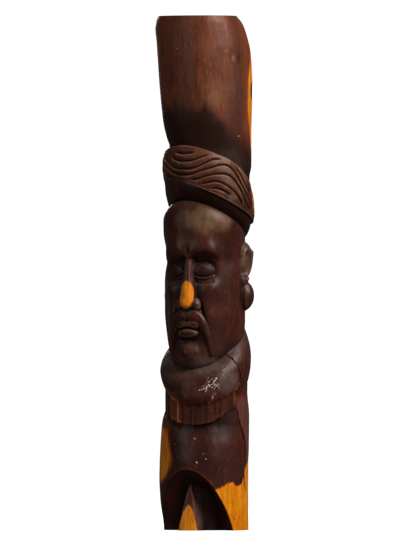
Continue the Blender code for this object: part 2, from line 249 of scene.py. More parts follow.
def dome(across, up, base, centre, reach, rise):
    """Half an ellipsoid on a base, falling on below the base beyond its rim."""
    u = (across - centre[0] * R) / (reach[0] * R)
    v = (up - centre[1] * H) / (reach[1] * H)
    q = 1 - u**2 - v**2
    return base * R + rise * R * np.where(q > 0, np.sqrt(np.maximum(q, 0)), q)


def stroke(across, up, start, bend, end):
    """As along_line, for a curve from start to end that is drawn towards the bend."""
    start, bend, end = (np.array(point, float) * (R, H) for point in (start, bend, end))
    t = np.linspace(0, 1, 13)[:, None]
    return along_line(across, up, start * (1 - t) ** 2 + 2 * bend * t * (1 - t) + end * t**2)


def along_line(across, up, points):
    """Distance from a line of points, and how far along it the nearest place lies, from 0 to 1."""
    nearest = np.full(np.shape(across), np.inf)
    along = np.zeros(np.shape(across))
    for i, (a, b) in enumerate(zip(points[:-1], points[1:])):
        run = b - a
        t = np.clip(((across - a[0]) * run[0] + (up - a[1]) * run[1]) / (run @ run), 0, 1)
        away = np.hypot(across - a[0] - t * run[0], up - a[1] - t * run[1])
        along = np.where(away < nearest, (i + t) / (len(points) - 1), along)
        nearest = np.minimum(nearest, away)
    return nearest, along


def ripple(angle, z, cell_degrees, cell_height, seed):
    """Smooth random waves between -1 and 1 over the surface, with cells of this size."""
    across = round(360 / cell_degrees)
    up = int(np.ceil(HEIGHT / cell_height)) + 4
    table = np.random.default_rng(seed).uniform(-1, 1, (up, across))
    u = (angle % 360) / 360 * across
    v = np.clip(z / cell_height + 1, 0, up - 1.001)
    i, j = np.floor(v).astype(int), np.floor(u).astype(int)
    s, t = step(v - i, 0, 1), step(u - j, 0, 1)
    low = table[i, j % across] * (1 - t) + table[i, (j + 1) % across] * t
    high = table[i + 1, j % across] * (1 - t) + table[i + 1, (j + 1) % across] * t
    return low * (1 - s) + high * s


# Guide lines round the post, from the foot up: each is a height for each angle

def below_foot(angle):
    return 0 * angle - SAW_ALLOWANCE


def niche_outline(angle):
    """The arch of the hollow at the foot, falling on below the saw cut."""
    turn = turn_from(angle)
    return NICHE_CROWN * (1 - (turn / NICHE_HALF_ANGLE) ** 2)


def niche_edge(angle):
    return np.maximum(niche_outline(angle), -0.8 * SAW_ALLOWANCE)


def fringe_foot(angle):
    hem = 204 + 52 * sweep(angle, 8) + 1.2 * flute_profile(angle)
    hem = hem + 3 * step(angle, 38, 41) + 4 * step(angle, 50, 53)
    return np.minimum(hem * H, fringe_top(angle) - 12 * H)


def fringe_top(angle):
    """The beard's lower lip, rising to each side of the face and level round the back."""
    turn = turn_from(angle, 10)
    rise = 1 - np.cos(np.radians(turn / (1 + (turn / 82) ** 6) ** (1 / 6)))
    return (243.5 + 58 * rise) * H


def jaw_line(angle):
    return (315 + 52 * sweep(angle, 0)) * H


def hairline(angle):
    return (641 - 42.8 * sweep(angle, -10)) * H


def band_foot(angle):
    return (680 - 43.8 * sweep(angle, -30)) * H


def band_top(angle):
    return (748 - 50.6 * sweep(angle, -10) + 5.5 * bump(angle, 62, 26)) * H


def above_top(angle):
    return 0 * angle + HEIGHT + SAW_ALLOWANCE


# The plain shaft above and below the carving

def upper_shaft(angle, z, share):
    """The plain length over the cap, rounded at its top and necked in over the band."""
    h = z / H
    planes = 2.6 * bump(angle, 15, 15) - 1.6 * bump(angle, -20, 18) - 1.4 * bump(angle, 52, 20)
    shaft = outline(angle, h, UPPER_OUTLINES) + planes * R * step(h, 790, 860)
    return shaft - KNOT_DEPTH * knot_hole(angle, z)


def knot_hole(angle, z):
    """One inside the hole left by a knot on the shaft's left side, and nought outside."""
    u, v = (angle - KNOT_HOLE[0]) / KNOT_REACH[0], (z / H - KNOT_HOLE[1]) / KNOT_REACH[1]
    return step(np.hypot(u, v), 1.1, 0.5)


def lower_shaft(angle, z, share):
    """The plain length under the fringe, down to the lower saw cut."""
    shaft = outline(angle, z / H, LOWER_OUTLINES)
    under_fringe = step(fringe_foot(angle) - z, 15 * H, 0) * step(turn_from(angle), 74, 52)
    return shaft - np.maximum(shaft - fringe_edge(angle) + 7 * R, 0) * under_fringe


def niche(angle, z, share):
    """The arched hollow at the foot, with a pointed leaf in it whose flat front turns to its left."""
    turn = turn_from(angle)
    steepness = 2 * NICHE_CROWN * turn / NICHE_HALF_ANGLE**2 / np.radians(1) / TRUNK_RADIUS
    inside = np.maximum(niche_outline(angle) - z, 0) / np.hypot(1, steepness)
    softness = np.where(angle < 0, 30 + 24 * step(turn, 5, 45), 30 - 23 * step(turn, 5, 40)) * H
    shaft = lower_shaft(angle, z, share)
    floor = shaft - NICHE_DEPTH * np.clip(inside / softness, 0, 1) ** 0.7
    height_share = np.clip(1 - z / (92 * H), 0, 1.2)
    front_half = 13 * height_share**0.75
    leaf_half = 32 * height_share**0.75 + 0.01
    across_front = np.clip(angle, -front_half, front_half)
    ridge = (68 + 20 * height_share**0.5) * R - (0.008 * across_front + 0.3) * across_front * R
    leaf = ridge - 36 * R * np.maximum(turn - front_half, 0) / (leaf_half - front_half)
    return np.where(height_share > 0, np.maximum(floor, np.minimum(leaf, shaft - R)), floor)


# The beard and its fringe

def jaw_radius(angle):
    return by_side(angle, 71, 72, 83, 86) * R


def fringe_edge(angle):
    """How far out the ridges between the fringe's flutes stand."""
    return by_side(angle, 84.5, 91, 90, 90) * R


def beard(angle, z, share):
    """The beard's smooth roll, from its fringe (share 0) up to the jaw (share 1)."""
    jaw = jaw_radius(angle)
    crest = by_side(angle, 94.6, 97, 97.3, 95) * R
    lip = fringe_edge(angle) + 0.6 * R
    fullest = 0.45
    over = 1 - np.clip((share - fullest) / (1 - fullest), 0, 1) ** 2.2
    under = np.clip((fullest - share) / fullest, 0, 1) ** 1.8
    roll = np.where(share > fullest, jaw + (crest - jaw) * over, crest - (crest - lip) * under)
    scallop = (1.5 + 4 * flute_profile(angle)) * H
    notch = FLUTE_DEPTH * flute_profile(angle) * step(z - fringe_top(angle), scallop, 0)
    return roll - notch * within_fringe(angle)


def within_fringe(angle):
    return step(turn_from(angle), FRINGE_END + 1.5, FRINGE_END - 0.5)


def flute_profile(angle):
    """Nought on each ridge of the fringe, and one in the middle of the flutes between them."""
    ridges = np.array(FLUTE_RIDGES, float)
    phase = np.interp(angle, ridges, np.arange(len(ridges))) % 1
    return np.sqrt(np.clip(1 - (2 * phase - 1) ** 2, 0, 1))


def fringe(angle, z, share):
    """Upright flutes along the beard's lower edge, ending in the plain post at each side."""
    within = within_fringe(angle)
    ragged = 0.8 * R * ripple(angle, 0 * z, 9, HEIGHT, 21)
    cut = fringe_edge(angle) + ragged * (1 - share) - FLUTE_DEPTH * flute_profile(angle)
    return lower_shaft(angle, z, share) * (1 - within) + cut * within


# The head, with heights in H and widths in R measured round it from the middle of the face

def skull(angle, z):
    """The head without its features: a domed forehead, flat temples and a jaw that narrows."""
    turn = turn_from(angle)
    forehead = 7 * R * bump(z, 592 * H, 44 * H) * step(turn, 100, 15)
    temple = 6 * R * bump(z, 532 * H, 26 * H) * bump(turn, 66, 17)
    hollow = 8 * R * bump(z, 430 * H, 80 * H) * step(turn, 75, 10)
    taper = 9 * R * step(z, 430 * H, 335 * H) * bump(turn, 64, 24)
    return 85 * R + forehead - temple - hollow - taper


def cheeks(surface, across, z):
    """High cheekbones over full cheeks, with a fold from the nose down past the mouth."""
    cheekbone = mound(across, z, (55, 470), (25, 22), 9)
    cheek = mound(across, z, (52, 418), (20, 34), 8)
    away, along = stroke(across, z, (22, 446), (40, 430), (47, 386))
    fold = 6.5 * R * bump(away, 0, 5 * R) * (1 - 0.6 * along)
    return surface + cheekbone + cheek - fold


def brows_and_eyes(surface, across, z):
    """Arched brows over deep sockets, with the lids lowered over the eyes."""
    crest = (533 + 13 * np.sin(np.clip(across / (80 * R), 0, 1) * np.pi)) * H
    fall = np.where(z > crest, 20 * H, 8 * H)
    brow = 8 * R * bump(z, crest, fall) * step(across, 98 * R, 58 * R)
    between = mound(across, z, (0, 540), (6, 12), 3.5)
    socket = mound(across, z, (40, 507), (27, 19), 17)
    corner = mound(across, z, (16, 514), (8, 17), 8)
    lid = dome(across, z, 76, (40, 503), (31, 17), 10.5)
    surface = soft_max(surface + brow - between - socket - corner, lid, 2 * R)
    bend = 1 - ((across - 40 * R) / (30 * R)) ** 2
    within = step(bend, 0.05, 0.35)
    seam = (501 - 8 * bend) * H
    seam_cut = 3.6 * R * bump(z, seam, 1.7 * H)
    lower_lid = 1.8 * R * bump(z, seam - 4.5 * H, 2.4 * H)
    lid_fold = 2.4 * R * bump(z, (506 + 12 * bend) * H, 1.8 * H)
    pouch = 1.6 * R * bump(z, (484 - 5 * bend) * H, 2 * H)
    return surface + (lower_lid - seam_cut - lid_fold - pouch) * within


def mouth(surface, across, z):
    """Closed full lips on a rounded muzzle, over a round chin."""
    muzzle = mound(across, z, (0, 398), (34, 28), 9)
    chin = mound(across, z, (0, 344), (26, 18), 14)
    surface = surface + muzzle + chin
    surface = soft_max(surface, dome(across, z, 84, (10, 400), (24, 10), 11), 1.5 * R)
    surface = soft_max(surface, dome(across, z, 84, (0, 384), (27, 10.5), 11), 1.5 * R)
    line = (392 + 1.5 * np.cos(across / (8 * R)) - 2.5 * (across / (30 * R)) ** 2) * H
    parting = 6 * R * bump(z, line, 1.8 * H) * step(across, 36 * R, 27 * R)
    under_lip = 4.5 * R * bump(z, 367 * H, 6 * H) * step(across, 32 * R, 12 * R)
    groove = mound(across, z, (0, 414), (3.5, 7), 1.6)
    return surface - parting - under_lip - groove


def nose(surface, across, z):
    """A straight nose: a widening bridge, a round tip and two wings."""
    share = np.clip((536 * H - z) / (92 * H), 0, 1)
    flat_half = (5 + 7.5 * share**1.5) * R
    slope = 0.8 + 0.4 * share
    bridge = (85 + 19 * share**0.85) * R - slope * np.maximum(across - flat_half, 0) - 0.02 * across**2 / R
    ends = 50 * R * step(z, 436 * H, 422 * H) + 30 * R * step(z, 530 * H, 566 * H)
    surface = soft_max(surface, bridge - ends, 3 * R)
    surface = soft_max(surface, dome(across, z, 84, (0, 441), (18, 16), 20.3), 2.5 * R)
    surface = soft_max(surface, dome(across, z, 77, (20, 438), (14, 14), 18.5), 1.5 * R)
    return surface - mound(across, z, (10, 424), (5, 4), 9)


def moustache(surface, across, z):
    """Two smooth locks that sweep from under the nose down to the beard, thinning as they go."""
    away, along = stroke(across, z, (8, 417), (44, 418), (60, 344))
    half_width = (13.5 - 6.5 * along**1.5) * R
    lock = np.sqrt(np.clip(1 - (away / half_width) ** 2, 0, 1))
    base = 88.5 * R - 10 * R * along**1.4
    return np.where(lock > 0, soft_max(surface, base + 6.5 * R * lock, 2 * R), surface)


def ears(surface, angle, z):
    """A rounded ear at each side: a rim round its hollow, and a full lobe under a waist."""
    across = length_of(turn_from(angle) - EAR_ANGLE)
    surface = soft_max(surface, dome(across, z, 78, (0, 488), (17, 40), 16), 3 * R)
    surface = soft_max(surface, dome(across, z, 78, (6, 525), (29, 38), 25), 3 * R)
    surface = soft_max(surface, dome(across, z, 78, (8, 456), (26, 31), 27), 3 * R)
    from_middle = np.hypot((across + 2 * R) / (20 * R), (z - 518 * H) / (31 * H))
    hollow = 13 * R * step(from_middle, 1, 0.55)
    canal = mound(across, z, (-9, 500), (7, 11), 5)
    away, _ = stroke(across, z, (9, 541), (17, 515), (0, 490))
    return surface - hollow - canal + 4 * R * bump(away, 0, 4 * R)


def head(angle, z, share):
    """The whole head, drawn in under the cap and over the beard."""
    across = length_of(turn_from(angle))
    surface = cheeks(skull(angle, z), across, z)
    surface = brows_and_eyes(surface, across, z)
    surface = mouth(surface, across, z)
    surface = nose(surface, across, z)
    surface = moustache(surface, across, z)
    surface = ears(surface, angle, z)
    below_hair = np.clip((hairline(angle) - z) / (26 * H), 0, 1)
    above_jaw = np.clip((z - jaw_line(angle)) / (20 * H), 0, 1)
    hair, jaw = hair_radius(angle), jaw_radius(angle)
    surface = hair + (surface - hair) * np.sqrt(1 - (1 - below_hair) ** 2)
    return jaw + (surface - jaw) * np.sqrt(1 - (1 - above_jaw) ** 2)


# The cap

def hair_radius(angle):
    return by_side(angle, 68, 76, 84, 86) * R


def cap_underside(angle, z, share):
    """The dark roll under the band, turning in from the band (share 1) to the hairline (share 0)."""
    band = by_side(angle, 84.5, 97, 102.7, 100) * R
    lip = 6 * R * step(turn_from(angle, -100), 60, 110)
    hair = hair_radius(angle)
    return hair + (band - lip - hair) * (1 - (1 - share) ** 2) ** 0.8


def wave_line(angle):
    """One cut of the wave pattern on the cap's far side, as a height at each angle."""
    first = WAVE_LINE[0][0]
    return curve((angle - first) % 360 + first, WAVE_LINE) * H


def steep(angle):
    """Where the cuts run steeply down the cap's left side."""
    return step(angle, 60, 76)


def gouge_cut(above, half_width, roll):
    """A cut's profile, one at its bottom: a long rolled upper wall and a steep lower one."""
    upper, lower = roll * half_width, 0.5 * half_width
    return np.where(above > 0, np.clip(1 - above / upper, 0, 1) ** 1.6, np.clip(1 + above / lower, 0, 1))


def lip_highlight(above, half_width):
    """The lip just under a cut's lower wall, which faces up: a painted highlight on it, with some rubbing.
    """
    return bump(above, -0.62 * half_width, 0.3 * half_width)


def hand_cuts(angle, z):
    """The cap's hand-drawn cuts, tapering at their ends: how deep, and the painted highlight on the lips
    under them.
    """
    deepest = 0 * angle
    lips = 0 * angle
    roll = 1.5 + 0.9 * step(angle, 15, -5) - 0.5 * steep(angle)
    for line in CAP_CUTS:
        turns = np.array(line, float)[:, 0]
        at = np.clip(angle, turns[0], turns[-1])
        height = smooth_line(at, line)
        slope = (smooth_line(at + 0.5, line) - smooth_line(at - 0.5, line)) / np.radians(1) / TRUNK_RADIUS
        past_end = length_of(angle - at)
        above = (z - height) / np.hypot(1, slope)
        from_end = np.minimum(angle - turns[0], (turns[-1] - angle) * (1 + 1.5 * steep(angle)))
        taper = step(from_end, -1, 7)
        half_width = WAVE_HALF_WIDTH * (0.35 + 0.65 * taper) * (1 + 0.45 * steep(angle))
        within = taper * (np.abs(past_end) < half_width)
        deepest = np.maximum(deepest, gouge_cut(above, half_width, roll) * within)
        # Painted highlight on the lip under each cut, weaker towards positive angles.
        lip = lip_highlight(above, half_width) * within * (1 - 0.85 * step(angle, -12, 18))
        lips = np.maximum(lips, lip)
    return deepest, lips


def smooth_line(angle, knots):
    """The height of a line through the knots, with its corners rounded."""
    turns, heights = np.array(knots, float).T
    total = 0
    for offset in (-2.4, -1.2, 0, 1.2, 2.4):
        total = total + 0.2 * np.interp(angle + offset, turns, heights)
    return total * H


def wave_cuts(angle, z):
    """All the cuts of the cap's band, with regular ones on its far side: how deep, and the painted
    highlight on their lips.
    """
    slope = (wave_line(angle + 1) - wave_line(angle - 1)) / np.radians(2) / TRUNK_RADIUS
    lean = 1 / np.hypot(1, slope)
    above_cut = (z - wave_line(angle) + WAVE_PITCH / 2) % WAVE_PITCH - WAVE_PITCH / 2
    half_width = np.minimum(WAVE_HALF_WIDTH, 0.42 * WAVE_PITCH * lean)
    far_side = step(turn_from(angle, 25), 76, 90)
    regular = gouge_cut(above_cut * lean, half_width, 1.4) * half_width / WAVE_HALF_WIDTH * far_side
    regular_lip_highlights = lip_highlight(above_cut * lean, half_width) * far_side
    deepest, lips = hand_cuts(angle, z)
    plain_edge = step(np.minimum(band_top(angle) - z, z - band_foot(angle)), 0, 4 * H)
    return np.maximum(regular, deepest) * plain_edge, np.maximum(regular_lip_highlights, lips) * plain_edge


def cap_band(angle, z, share):
    """The cap's carved band, from its foot (share 0) to its upper edge (share 1)."""
    depth = WAVE_DEPTH * (1 + 0.3 * bump(angle, 84, 16))
    return outline(angle, share, BAND_OUTLINES) - depth * wave_cuts(angle, z)[0]


# What the fine surface adds to the solid

def crack_angle(z):
    return curve(z / H, CRACK_LINE)


def crack_slot(angle, z, spread=1):
    """One in the middle of the crack, which is uneven along its length, and nought beside it."""
    away = length_of(angle - crack_angle(z))
    open_share = step(z, 66 * H, 82 * H) * step(z, 349 * H, 335 * H)
    uneven = 0.9 + 0.35 * ripple(0 * angle, z, 360, 23 * H, 5)
    half_width = np.maximum(uneven * CRACK_HALF_WIDTH * open_share * spread, 1e-6)
    return np.clip(1 - np.abs(away) / half_width, 0, 1) * open_share


def crack(angle, z):
    """Depth of the crack, and the step beside it."""
    away = length_of(angle - crack_angle(z))
    slot = CRACK_DEPTH * np.sqrt(crack_slot(angle, z))
    beside = 1.8 * R * step(away, -0.5 * R, 1.5 * R) * step(away, 40 * R, 12 * R)
    return slot + beside * step(z, 180 * H, 210 * H) * step(z, 345 * H, 320 * H)


def tool_marks(angle, z):
    """The gentle hollows of a surface shaped by hand and rubbed smooth."""
    broad = 0.5 + 0.5 * ripple(angle, z, 15, 60 * H, 11)
    small = 0.5 + 0.5 * ripple(angle, z, 6, 19 * H, 12)
    fine = 0.5 + 0.5 * ripple(angle, z, 2.5, 9 * H, 13)
    return (0.9 * broad + 0.45 * small + 0.12 * fine) * R


def regions():
    """The post's regions from the foot up: lower edge, upper edge, rows and surface."""
    return (
        (below_foot, niche_edge, 110, niche),
        (niche_edge, fringe_foot, 100, lower_shaft),
        (fringe_foot, fringe_top, 44, fringe),
        (fringe_top, jaw_line, 110, beard),
        (jaw_line, hairline, 310, head),
        (hairline, band_foot, 44, cap_underside),
        (band_foot, band_top, 150, cap_band),
        (band_top, above_top, 170, upper_shaft),
    )


def column_angles(count):
    """The columns' angles, closer together on the carved front and closest at the crack."""
    fine = np.linspace(-180, 180, 7201)
    density = 1 + (FRONT_DENSITY - 1) * step(np.abs(fine), 140, 120)
    density = density + CRACK_DENSITY * bump(fine, CRACK_COLUMN, 1.6)
    density = density + CAP_DENSITY * bump(fine, 35, 16)
    passed = np.concatenate(([0], np.cumsum((density[1:] + density[:-1]) / 2)))
    return np.interp(np.arange(count) / count * passed[-1], passed, fine)


def drawn_to_crack(columns, z):
    """The columns bent sideways so that the closest of them run along the crack."""
    shift = (crack_angle(z) - CRACK_COLUMN) * step(z, 440 * H, 350 * H)
    return columns + shift * bump(columns, CRACK_COLUMN, 22)


def surface_grid(count, row_share):
    """The surface as grids of angle, height, distance from the axis and fields."""
    columns = column_angles(count)
    blocks = []
    for low, high, rows, surface in regions():
        share = np.linspace(0, 1, max(round(rows * row_share), 6))[:, None] + 0 * columns
        angle = columns + 0 * share
        for _ in range(5):
            bottom, top = low(angle) + LEDGE, high(angle) - LEDGE
            z = bottom + share * (top - bottom)
            angle = drawn_to_crack(columns, z)
        away = surface(angle, z, share)
        blocks.append((angle, z, away, surface_fields(surface, angle, z)))
    angle, z, away = (np.concatenate([block[i] for block in blocks]) for i in range(3))
    fields = {name: np.concatenate([block[3][name] for block in blocks]) for name in blocks[0][3]}
    # Painted shade and highlight: the first two fields are how far each point lies below its neighbours,
    # near and farther off, for painted shade, with some dirt, in creases and recesses; the third is how far
    # it stands above them, for rubbed edges and painted highlights.
    fields["hollow"] = (blurred(away, (1, 2, 3, 4, 5)) - away) / R
    fields["recess_shade"] = (blurred(away, (2, 4, 8, 12, 16, 20)) - away) / R
    fields["ridge"] = (away - blurred(away, (1, 2, 2))) / R + fields.pop("lips")
    fields["hollow"] = fields["hollow"] + fields.pop("grime")
    away = away - tool_marks(angle, z) - crack(angle, z)
    return angle, z, away, fields


def blurred(field, reaches):
    """The field smoothed over its neighbours, round the post and up and down it."""
    for reach in reaches:
        field = (np.roll(field, reach, 1) + 2 * field + np.roll(field, -reach, 1)) / 4
        above = np.concatenate((field[reach:], np.repeat(field[-1:], reach, 0)))
        below = np.concatenate((np.repeat(field[:1], reach, 0), field[:-reach]))
        field = (above + 2 * field + below) / 4
    return field


def patch(angle, z, centre, height, half_angle, half_height, rim=0.35):
    """A soft oval patch on the surface: one inside it and nought outside."""
    u = (angle - centre) / half_angle
    v = (z / H - height) / half_height
    return step(np.hypot(u, v), 1 + rim, 1 - rim)


def surface_fields(surface, angle, z):
    """What the wood's material reads at each point."""
    h = z / H
    grime, lips = edge_marks(surface, angle, z)
    return {
        "grime": grime,
        "lips": lips,
        "sapwood": sapwood_field(surface, angle, z, h),
        "stain": stain_and_shade_field(surface, angle, z, h),
        "warm": warm_field(surface, angle, z, h),
        "film": film_and_sheen_field(angle, z) * np.clip(1 - grime, 0, 1) * (0.2 if surface is cap_underside else 1),
        "scratch": scratched(angle, z),
        "wear": rubbed_and_lit_edge_field(surface, angle, z),
    }


def edge_marks(surface, angle, z):
    """Painted shade added or taken away beyond what the shape shows, and painted highlights on the lips, in
    the cap's cuts and along the fringe.
    """
    if surface is cap_band:
        grime, lips = wave_cuts(angle, z)
        # Painted highlight along the band's top edge.
        top_edge = bump(band_top(angle) - z, 3 * H, 2.5 * H) * step(angle, 25, 45)
        # Painted shade in the cuts, strongest where they run steeply and towards negative angles.
        strength = 1.3 + 2.4 * steep(angle) + 0.8 * step(angle, -10, -30)
        return strength * grime ** (1.5 - 0.7 * steep(angle)), 0.8 * lips + 1.5 * top_edge
    from_lip = np.abs(z - fringe_top(angle)) / H
    # Less painted shade along the fringe's lip.
    less_shade = -0.7 * bump(from_lip, 0, 5) * within_fringe(angle)
    # A painted highlight on the lip towards negative angles.
    bright = bump(angle, -25, 13)
    if surface is beard:
        # Painted highlight in dashes along the beard's lip.
        dashes = step(ripple(angle, 0 * z, 7, HEIGHT, 44), -0.1, 0.5)
        return less_shade, (bright + 0.7 * dashes) * step(from_lip, 4.5, 1) * within_fringe(angle)
    if surface is fringe:
        on_ridge = (1 - flute_profile(angle)) ** 2
        lit_ridge = 1.6 * on_ridge * bump(angle, -17, 5)
        # Less painted shade over the whole fringe, and painted highlights on its ridges and lip.
        return less_shade - 0.6, lit_ridge - 0.5 * on_ridge + bright * step(from_lip, 4.5, 1)
    return 0 * z, 0 * z


def sapwood_field(surface, angle, z, h):
    """The yellow wood: a strip down the upper shaft's left side, and patches lower down."""
    turn = angle % 360
    wander = 7 * ripple(angle, z, 18, 40 * H, 51) + 3 * ripple(angle, z, 6, 14 * H, 52)
    edge = curve(h, STRIP_EDGE)
    uneven = h + 8 * ripple(angle, z, 9, 20 * H, 43)
    full = 0.66 - 0.24 * step(uneven, 895, 950) * step(turn, 132, 108)
    strip = full * step(turn, edge - 4, edge + 5) * step(turn + 2 * wander, 214, 196)
    sapwood = np.maximum.reduce([
        strip if surface is upper_shaft else 0 * z,
        patch(angle, z, 152, 600, 34, 150, 0.5) * 0.9,
        patch(angle, z, 103, 640, 5, 32, 0.6) * 0.62,
        1.6 * patch(angle, z, 1, 458, 9, 27, 0.3) - 0.3 if surface is head else 0 * z,
        patch(angle + 0.6 * wander, z + 0.7 * H * wander, -60, 145, 37, 54, 0.4),
        patch(angle + wander, z + 1.5 * H * wander, -92, 108, 24, 62, 0.5),
    ])
    low = step(curve(angle, LOW_EDGE) - h, -4, 4) * step(angle, 30, 36) * step(angle, 172, 165)
    if surface is niche:
        inside = niche_outline(angle) - z > 0
        leaf_front = 1 - (angle / 13.7) ** 2 - h / 50
        low = np.where(inside, 0.5 + 3.5 * leaf_front, low)
    return np.maximum(sapwood, low)


def stain_and_shade_field(surface, angle, z, h):
    """Where the wood is nearly black: dark knots, darker over the cap, and painted shade in the sockets,
    under the band, under the chin, in the niche, under the fringe and in the crack. Below nought it is
    paler than the rest, beside the crack and, as painted light, on the beard's lower roll.
    """
    stain_and_shade_parts = [
        # Painted shade in the eye sockets.
        patch(np.abs(angle), z, 25, 508, 22, 25, 0.5) * 0.6,
        knot_hole(angle, z),
        patch(angle, z, 112, KNOT_HOLE[1], 13, 19, 0.25),
        patch(angle, z, 71, 921, 4.5, 11, 0.7) * 0.8,
    ]
    if surface is upper_shaft:
        middle = curve(angle, NECK_DARKENING)
        middle = middle + 12 * ripple(angle, z, 15, 30 * H, 41) + 5 * ripple(angle, z, 5, 12 * H, 42)
        middle = middle + 4 * ripple(angle, 0 * z, 5, HEIGHT, 45) - 36 * step(turn_from(angle, 25), 96, 170)
        soft = 42 + 24 * step(angle, 38, 70)
        # Darker over the cap below that line, and painted shade on the shaft round 70 degrees.
        stain_and_shade_parts += [step(h, middle + soft, middle - soft), 0.58 * bump(angle, 70, 22)]
    if surface is cap_underside:
        # Painted shade under the band.
        stain_and_shade_parts.append(0.6 + 0.4 * step(angle, -25, 15) + 0.4 * step(angle, -100, -140))
    if surface is cap_band:
        stain_and_shade_parts.append(0.45 * step(z - band_foot(angle), 26 * H, 0) * step(angle, 22, -5))
    if surface is beard:
        # Painted shade under the chin.
        stain_and_shade_parts.append(0.4 * patch(angle, z, -20, 354, 28, 18, 0.8))
    if surface is niche:
        # Painted shade inside the niche, less on its rolled edge towards negative angles.
        below_arch = niche_outline(angle) - z
        soft = np.where(angle < 0, 44, 44 - 36 * step(angle, 0, 30)) * H
        in_niche = step(below_arch, -2 * H, soft) * step(h / 92 + np.abs(angle) / 26, 0.98, 1.04)
        on_roll = 0.55 + 0.45 * step(turn_from(angle), 62, 40)
        stain_and_shade_parts.append(0.7 * in_niche * np.where(angle < 0, on_roll, 1))
    if surface is lower_shaft:
        # Painted shadow under the fringe.
        under_fringe = step(fringe_foot(angle) - z, 24 * H, 2 * H) * step(turn_from(angle, 5), 66, 40)
        stain_and_shade_parts.append(0.9 * under_fringe)
    beside_crack = step(angle - crack_angle(z), -1, 2) * step(angle, 150, 115)
    paler = 0.55 * beside_crack * step(h, 90, 150) * step(h, 290, 240)
    # Painted light on the beard's lower roll, which faces down.
    paler = np.maximum(paler, 0.44 * patch(angle, z, 12, 268, 40, 15, 0.7))
    # Painted shade in the crack.
    crack_shade = 2 * step(crack_slot(angle, z, 1.5), 0, 0.3) - 1
    return np.maximum(np.maximum.reduce(stain_and_shade_parts) - paler, crack_shade)


def rubbed_and_lit_edge_field(surface, angle, z):
    """How far the sharp edges are rubbed pale, and how strongly a highlight is painted on them, most on the
    fringe's and beard's lip and on the band towards negative angles.
    """
    if surface is fringe:
        above_hem = step(z - fringe_foot(angle), 2 * H, 10 * H)
        return (0.06 + 1.2 * bump(angle, -20, 9)) * above_hem
    if surface is beard:
        near_lip = step(z - fringe_top(angle), 6 * H, 2 * H) * within_fringe(angle)
        return 0.05 + near_lip * (0.4 + 0.6 * bump(angle, -25, 13))
    if surface is cap_band:
        return 1 - 0.45 * step(angle, -12, 18) + 0 * z
    return 0 * z + (0.45 if surface is head else 0.06)


def warm_field(surface, angle, z, h):
    """Where the dark wood turns orange-brown; along the fringe and the beard's lip, towards negative
    angles, this is a painted highlight.
    """
    warm = [
        patch(angle, z, 72, 262, 5, 20, 0.6),
        patch(angle, z, -52, 190, 24, 40, 0.7) * 0.7,
    ]
    if surface is niche:
        warm.append(0.3 * step(h / 92 + np.abs(angle) / 30, 1.02, 0.9))
    # Warmer over the fringe and along the beard's lip, with a painted highlight at about -25 degrees.
    if surface is fringe:
        warm.append(within_fringe(angle) * (0.32 + 0.68 * bump(angle, -24, 11)))
    if surface is beard:
        near_lip = within_fringe(angle) * step(z - fringe_top(angle), 30 * H, 0)
        warm.append(near_lip * (0.45 + 0.55 * bump(angle, -28, 16)))
    if surface is upper_shaft:
        warm.append(patch(angle, z, 66, 975, 34, 44, 0.7) * 0.5)
        warm.append(patch(angle, z, 90, 800, 8, 120, 0.7) * 0.5)
    return np.maximum.reduce(warm)


def film_and_sheen_field(angle, z):
    """Where a dull film lies on the polish, and where a sheen is painted on it."""
    return np.maximum.reduce([patch(angle, z, *place) * strength for *place, strength in FILM_AND_SHEEN])


def scratched(angle, z):
    """How close each point is to one of the scratches."""
    share = 0 * z
    for strength, line in SCRATCHES:
        turns, heights = np.array(line).T
        near = (angle > turns.min() - 4) & (angle < turns.max() + 4)
        near = near & (z > (heights.min() - 5) * H) & (z < (heights.max() + 5) * H)
        across, up = length_of(angle[near]), z[near]
        across = across + 1.2 * H * ripple(angle[near], up, 1.5, 3 * H, 31)
        up = up + 1.2 * H * ripple(angle[near], up, 1.5, 3 * H, 32)
        points = np.array(line) * (length_of(1), H)
        away, _ = along_line(across, up, points)
        share[near] = np.maximum(share[near], strength * step(away, SCRATCH_WIDTH, 0))
    return share


def tube_mesh(name, points, fields):
    """An open tube through rings of points, with the fields as attributes of its points."""
    rings, count = points.shape[:2]
    lower = np.arange((rings - 1) * count).reshape(rings - 1, count)
    ahead = np.roll(lower, -1, axis=1)
    corners = np.stack((lower, ahead, ahead + count, lower + count), axis=2).reshape(-1, 4)
    mesh = bpy.data.meshes.new(name)
    mesh.from_pydata(points.reshape(-1, 3).tolist(), [], corners.tolist())
    for field, values in fields.items():
        made = mesh.attributes.new(field, "FLOAT", "POINT")
        made.data.foreach_set("value", values.astype(np.float32).ravel())
    return mesh


def thinned(mesh, triangles):
    """The mesh with its flatter parts thinned, down to this number of triangles."""
    scratch = bpy.data.objects.new("scratch", mesh)
    bpy.context.scene.collection.objects.link(scratch)
    thin = scratch.modifiers.new("Thin", "DECIMATE")
    thin.ratio = min(triangles / (2 * len(mesh.polygons)), 1)
    kept = scratch.vertex_groups.new(name="kept_fine")
    marks = np.zeros(len(mesh.vertices))
    mesh.attributes["scratch"].data.foreach_get("value", marks)
    kept.add([int(i) for i in np.flatnonzero(marks > 0.1)], 1, "REPLACE")
    thin.vertex_group = kept.name
    thin.invert_vertex_group = True
    thin.vertex_group_factor = 20
    graph = bpy.context.evaluated_depsgraph_get()
    result = bpy.data.meshes.new_from_object(scratch.evaluated_get(graph))
    bpy.data.objects.remove(scratch)
    return result


